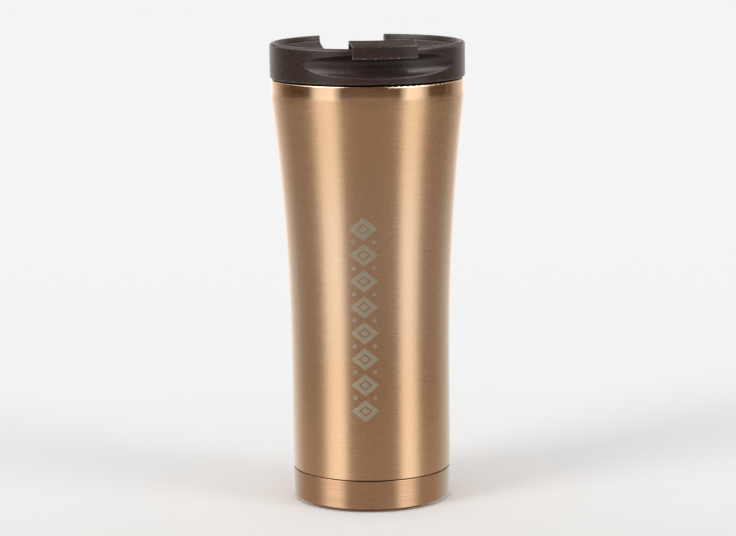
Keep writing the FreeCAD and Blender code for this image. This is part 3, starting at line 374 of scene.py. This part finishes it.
def moulded_plastic(name, tone=1.0):
    """Dark brown plastic with a fine moulded grain: rubbed paler on its edges, with painted shade in its
    hollows.
    """
    finish = Finish(name, IOR=1.47, Sheen_Weight=0.05, Sheen_Roughness=0.35)
    plain = shade_of(PLASTIC, tone)
    rubbed = shade_of(PLASTIC_RUBBED, tone)
    grain = finish.cells(1900.0)
    speckle = finish.noise(1150, 1150, 1150, detail=3.0, roughness=0.6).rise(0.32, 0.68)
    clouds = finish.noise(70, 70, 70, detail=4.0)
    edge = finish.sharpness(radius=0.9 * MM)
    nicks = finish.noise(700, 700, 700, detail=3.0).rise(0.50, 0.64)
    specks = finish.noise(1300, 1300, 1300, detail=1.0).rise(0.70, 0.76)
    wear = (edge * (nicks * 0.75 + 0.25) + specks * 0.35).math("MINIMUM", 1.0)
    # painted shade: darker where the piece and its neighbours close in round a point
    painted_hollow_shade = finish.open_share(reach=14 * MM).rise(0.90, 0.25)
    tint = clouds * 0.4 + speckle * 0.6
    colour = tint.ramp((0.15, shade_of(plain, 0.85)), (0.85, shade_of(plain, 1.15)))
    # painted shade in the hollows, down to nearly black
    colour = finish.mix(painted_hollow_shade * 0.85, colour, shade_of(plain, 0.12))
    colour = finish.mix(wear, colour, rubbed)
    rough = speckle.spread(0.25, 0.36) + clouds.spread(-0.03, 0.03) - edge * 0.05
    normal = finish.bump(grain * 0.5 + speckle * 0.5, 0.03 * MM, strength=0.55)
    return finish.set(Base_Color=colour, Roughness=rough, Normal=normal)


def silicone(name, base, dust=0.3):
    """Soft matt rubber: a bloom of fine dust over a slightly uneven skin."""
    finish = Finish(name, IOR=1.42, Sheen_Weight=0.25, Sheen_Roughness=0.4)
    skin = finish.noise(900, 900, 900, detail=3.0)
    bloom = finish.noise(240, 240, 240, detail=5.0, roughness=0.65).rise(0.45, 0.75)
    lint = finish.noise(2600, 2600, 2600, detail=1.0).rise(0.72, 0.80)
    colour = skin.ramp((0.3, shade_of(base, 0.85)), (0.7, shade_of(base, 1.15)))
    colour = finish.mix((bloom * 0.4 + lint * 0.4) * dust, colour, DUST)
    normal = finish.bump(skin, 0.05 * MM, strength=0.4)
    return finish.set(Base_Color=colour, Roughness=skin.spread(0.58, 0.74), Normal=normal)


def foam_tape():
    """Open-celled foam tape."""
    finish = Finish("foam_tape", IOR=1.4)
    pores = finish.cells(2400.0).rise(0.20, 0.55)
    tone = finish.noise(300, 300, 300, detail=3.0)
    colour = finish.mix(pores, (0.34, 0.31, 0.26), tone.ramp((0.3, (0.60, 0.57, 0.50)),
                                                             (0.7, (0.70, 0.67, 0.60))))
    normal = finish.bump(pores, 0.2 * MM, strength=0.6)
    return finish.set(Base_Color=colour, Roughness=tone.spread(0.8, 0.95), Normal=normal)


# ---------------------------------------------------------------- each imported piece's finish

SATIN = ((0.50, 0.49, 0.48), (0.66, 0.65, 0.64))
BRIGHT = ((0.52, 0.52, 0.53), (0.72, 0.72, 0.73))
lid_plastic = moulded_plastic("lid_plastic")
seal_silicone = silicone("seal_silicone", (0.075, 0.058, 0.050))
finishes = {
    "outer_shell": brushed_copper(),
    "base_cover": base_copper(),
    "inner_liner": steel("liner_steel", 0.26, *SATIN),
    "vacuum_base": steel("vacuum_base_steel", 0.32, *SATIN),
    "sealing_bead": sealing_glass(),
    "getter_capsule": getter(),
    "getter_clip": steel("spring_steel", 0.2, *BRIGHT, turned=False),
    "radiation_foil": foil(),
    "base_adhesive": foam_tape(),
    "foot_pad": silicone("foot_silicone", (0.045, 0.034, 0.030), dust=0.5),
    "mouth_gasket": seal_silicone,
    "lid_shell": lid_plastic,
    "lid_plug": moulded_plastic("plug_plastic", tone=0.92),
    "hinge_pin": steel("pin_steel", 0.18, *BRIGHT, turned=False),
    "flip_lever": moulded_plastic("lever_plastic", tone=0.94),
    "drink_stopper": seal_silicone,
    "vent_stopper": seal_silicone,
}
for name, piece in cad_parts.items():
    piece.data.materials.clear()
    piece.data.materials.append(finishes[name])


# ---------------------------------------------------------------- camera

# where the photo was taken from: the heading round the cup, the metres from its axis and above its
# foot, and how the camera is turned away from level and from looking straight at the axis
VIEW_AZIMUTH = math.radians(-10.4)
VIEW_TILT = math.radians(-9.4)
VIEW_ROLL = math.radians(-0.69)
VIEW_PAN = math.radians(0.037)
VIEW_DISTANCE = 1.170
VIEW_HEIGHT = 0.2945
SENSOR_WIDTH = 36.0
LENS = 133.3


def add_camera():
    camera = bpy.data.objects.new("camera", bpy.data.cameras.new("camera"))
    bpy.context.scene.collection.objects.link(camera)
    camera.data.sensor_width = SENSOR_WIDTH
    camera.data.lens = LENS
    camera.data.clip_end = 30.0
    place = Matrix.Translation((
        VIEW_DISTANCE * math.sin(VIEW_AZIMUTH), -VIEW_DISTANCE * math.cos(VIEW_AZIMUTH), VIEW_HEIGHT))
    turn = Matrix.Rotation(VIEW_AZIMUTH + VIEW_PAN, 4, "Z")
    tilt = Matrix.Rotation(math.radians(90.0) + VIEW_TILT, 4, "X")
    camera.matrix_world = place @ turn @ tilt @ Matrix.Rotation(VIEW_ROLL, 4, "Z")
    bpy.context.scene.camera = camera


# ---------------------------------------------------------------- studio

def stage_mesh(name, build, material):
    """A studio object in the camera's heading: its own -Y faces the camera's side."""
    mesh = bpy.data.meshes.new(name)
    shape = bmesh.new()
    build(shape)
    for face in shape.faces:
        face.smooth = True
    shape.to_mesh(mesh)
    shape.free()
    mesh.materials.append(material)
    thing = bpy.data.objects.new(name, mesh)
    thing.rotation_euler.z = VIEW_AZIMUTH
    bpy.context.scene.collection.objects.link(thing)
    return thing


FLOOR_RADIUS = 9.0
# the paper's tones are painted light and shade
FLOOR_FRONT = -0.2   # the paper's tones begin here, in front of the cup
FLOOR_DEPTH = 3.2    # and run back over this
TENT_RADIUS = 3.0
TENT_HEIGHT = 0.10


def floor_paper():
    """Pale paper with painted light and shade: darker in front of the cup, a little lighter further back.
    """
    finish = Finish("floor_paper", Specular_IOR_Level=0.0, Roughness=0.9)
    fibres = finish.noise(500, 500, 500, detail=4.0)
    back = (finish.y - FLOOR_FRONT) / FLOOR_DEPTH
    # painted light and shade: the paper's brightness by its distance back, standing in for how the lamps
    # fall on the floor
    tone = back.ramp(
        (0.000, (0.722, 0.720, 0.712)),
        (0.028, (0.765, 0.763, 0.757)),
        (0.055, (0.805, 0.804, 0.800)),
        (0.140, (0.822, 0.823, 0.822)),
        (0.400, (0.830, 0.832, 0.832)),
        (1.000, (0.824, 0.826, 0.826)),
    )
    return finish.set(
        Base_Color=finish.mix(fibres * 0.05, tone, (0.70, 0.69, 0.68)),
        Normal=finish.bump(fibres, 0.05 * MM, strength=0.1),
    )


# what the cup reflects from round the room, by the heading in degrees: 0 is the camera's own side,
# and it grows to the right in the photo. Each row then has how bright and how cool it is below eye
# level, the same in a strip at eye level, and how bright it is overhead
TENT = (
    (-180, 0.85, 1.52, 1.50, 0.60, 0.30),
    (-150, 0.74, 1.44, 0.90, 0.60, 0.80),
    (-132, 0.61, 1.22, 0.46, 0.45, 2.00),
    (-118, 0.49, 0.70, 0.17, -0.10, 1.50),
    (-100, 0.46, 0.45, 0.075, -0.35, 1.50),
    (-84, 0.46, 0.45, 0.075, -0.35, 4.00),
    (-74, 0.66, 0.66, 0.10, -0.20, 5.50),
    (-62, 1.12, 1.00, 0.92, 0.72, 4.50),
    (-43, 1.24, 1.02, 1.06, 0.72, 3.00),
    (-31, 0.48, 0.45, 0.09, -0.30, 0.20),
    (0, 0.455, 0.45, 0.085, -0.35, 0.06),
    (38, 0.47, 0.45, 0.09, -0.30, 0.20),
    (49, 1.20, 1.02, 1.10, 0.72, 1.20),
    (64, 1.14, 1.00, 0.98, 0.72, 4.50),
    (79, 0.46, 0.45, 0.11, -0.30, 5.50),
    (90, 0.46, 0.45, 0.085, -0.35, 3.00),
    (104, 0.45, 0.45, 0.09, -0.35, 1.00),
    (109, 0.45, 0.48, 0.18, -0.10, 1.00),
    (114, 0.47, 0.60, 0.13, -0.10, 1.50),
    (126, 0.50, 1.08, 0.36, 0.45, 2.00),
    (142, 0.56, 1.42, 0.62, 0.60, 0.80),
    (180, 0.85, 1.52, 1.50, 0.60, 0.30),
)
BRIGHTEST = 5.5
OVERHEAD_COOL = 0.75

# heights in degrees above the horizon where a part of the tent begins, and where it is full
STRIP_FROM_BELOW = (-13, -9.5)
STRIP_FROM_ABOVE = (34, 22)
OVERHEAD = (24, 38)
UNDERFOOT = (-36, -50)
SHADED_BACK = (7, 15)
CEILING = (60, 70)
# the back begins this share of a turn away from the camera's own heading, and is full at the other
BACK = (0.38, 0.44)


def glow(level, cool):
    """A light level as a ramp's colour: brownish where cool is 0, bluish above 1."""
    share = level / BRIGHTEST
    return (share, share * (0.76 + 0.34 * cool), share * (0.58 + 0.55 * cool))


def tent_light():
    """Two tall softboxes in front that lean over the cup, dim gaps, and white cloth behind."""
    finish = Finish("tent_light")
    finish.tree.nodes.remove(finish.shader)
    heading = finish.x.math("ARCTAN2", finish.y * -1.0) / math.tau + 0.5
    level = (finish.x * finish.x + finish.y * finish.y).math("SQRT")
    height = finish.z.math("ARCTAN2", level)

    def part(limits):
        begins, full = limits
        return height.rise(math.radians(begins), math.radians(full))

    headings, low, low_cool, strip, strip_cool, overhead = zip(*TENT)
    turns = [degrees / 360 + 0.5 for degrees in headings]
    below = heading.ramp(*zip(turns, map(glow, low, low_cool)))
    eye_level = heading.ramp(*zip(turns, map(glow, strip, strip_cool)))
    above = heading.ramp(*zip(turns, (glow(light, OVERHEAD_COOL) for light in overhead)))
    behind = (heading - 0.5).size().rise(*BACK)
    below = finish.mix(part(UNDERFOOT), below, glow(0.10, 0.0))
    room = finish.mix(part(STRIP_FROM_BELOW) * part(STRIP_FROM_ABOVE), below, eye_level)
    room = finish.mix(part(OVERHEAD), room, above)
    room = finish.mix(part(SHADED_BACK) * behind, room, glow(0.12, 0.4))
    room = finish.mix(part(CEILING), room, glow(0.15, 0.4))
    emission = finish.add("ShaderNodeEmission")
    emission.inputs["Strength"].default_value = BRIGHTEST
    finish.feed(emission.inputs["Color"], room)
    finish.tree.links.new(emission.outputs[0], finish.tree.nodes["Material Output"].inputs["Surface"])
    finish.material.cycles.emission_sampling = "NONE"
    return finish.material


LAMP_WIDTH = math.radians(26)
SKY_STRENGTH = 0.82
SKY_LEVELS = ((0.40, 0.14), (0.52, 1.0))   # from straight down at 0 to straight up at 1


def lamp(name, heading, height, strength):
    """A broad, distant lamp, placed in degrees. It lights, but isn't seen or reflected."""
    light = bpy.data.lights.new(name, "SUN")
    light.angle = LAMP_WIDTH
    light.energy = strength
    thing = bpy.data.objects.new(name, light)
    bpy.context.scene.collection.objects.link(thing)
    turn = Matrix.Rotation(VIEW_AZIMUTH + math.radians(heading), 4, "Z")
    thing.matrix_world = turn @ Matrix.Rotation(math.radians(90 - height), 4, "X")
    thing.visible_camera = False
    thing.visible_glossy = False


def room_light():
    """Even light from above the horizon, and little from below it."""
    world = bpy.data.worlds.new("room_light")
    world.use_nodes = True
    world.cycles_visibility.glossy = False
    nodes, links = world.node_tree.nodes, world.node_tree.links
    toward = nodes.new("ShaderNodeTexCoord")
    axes = nodes.new("ShaderNodeSeparateXYZ")
    grade = nodes.new("ShaderNodeValToRGB")
    spread = nodes.new("ShaderNodeMapRange")
    spread.inputs["From Min"].default_value = -1.0
    for element, (place, level) in zip(grade.color_ramp.elements, SKY_LEVELS):
        element.position = place
        element.color = (level, level, level, 1.0)
    links.new(toward.outputs["Generated"], axes.inputs[0])
    links.new(axes.outputs["Z"], spread.inputs["Value"])
    links.new(spread.outputs["Result"], grade.inputs["Fac"])
    links.new(grade.outputs["Color"], nodes["Background"].inputs["Color"])
    nodes["Background"].inputs["Strength"].default_value = SKY_STRENGTH
    return world


def add_studio():
    floor = stage_mesh(
        "floor",
        lambda shape: bmesh.ops.create_circle(shape, cap_ends=True, radius=FLOOR_RADIUS, segments=96),
        floor_paper())
    floor.visible_glossy = False
    floor.visible_diffuse = False
    tent = stage_mesh(
        "tent",
        lambda shape: bmesh.ops.create_uvsphere(
            shape, u_segments=64, v_segments=32, radius=TENT_RADIUS),
        tent_light())
    tent.location.z = TENT_HEIGHT
    for ray in ("camera", "diffuse", "transmission", "volume_scatter", "shadow"):
        setattr(tent, "visible_" + ray, False)
    lamp("lamp_left", heading=-53, height=33, strength=1.0)
    lamp("lamp_right", heading=60, height=33, strength=0.6)
    bpy.context.scene.world = room_light()


add_camera()
add_studio()
bpy.context.scene.view_settings.view_transform = "Standard"
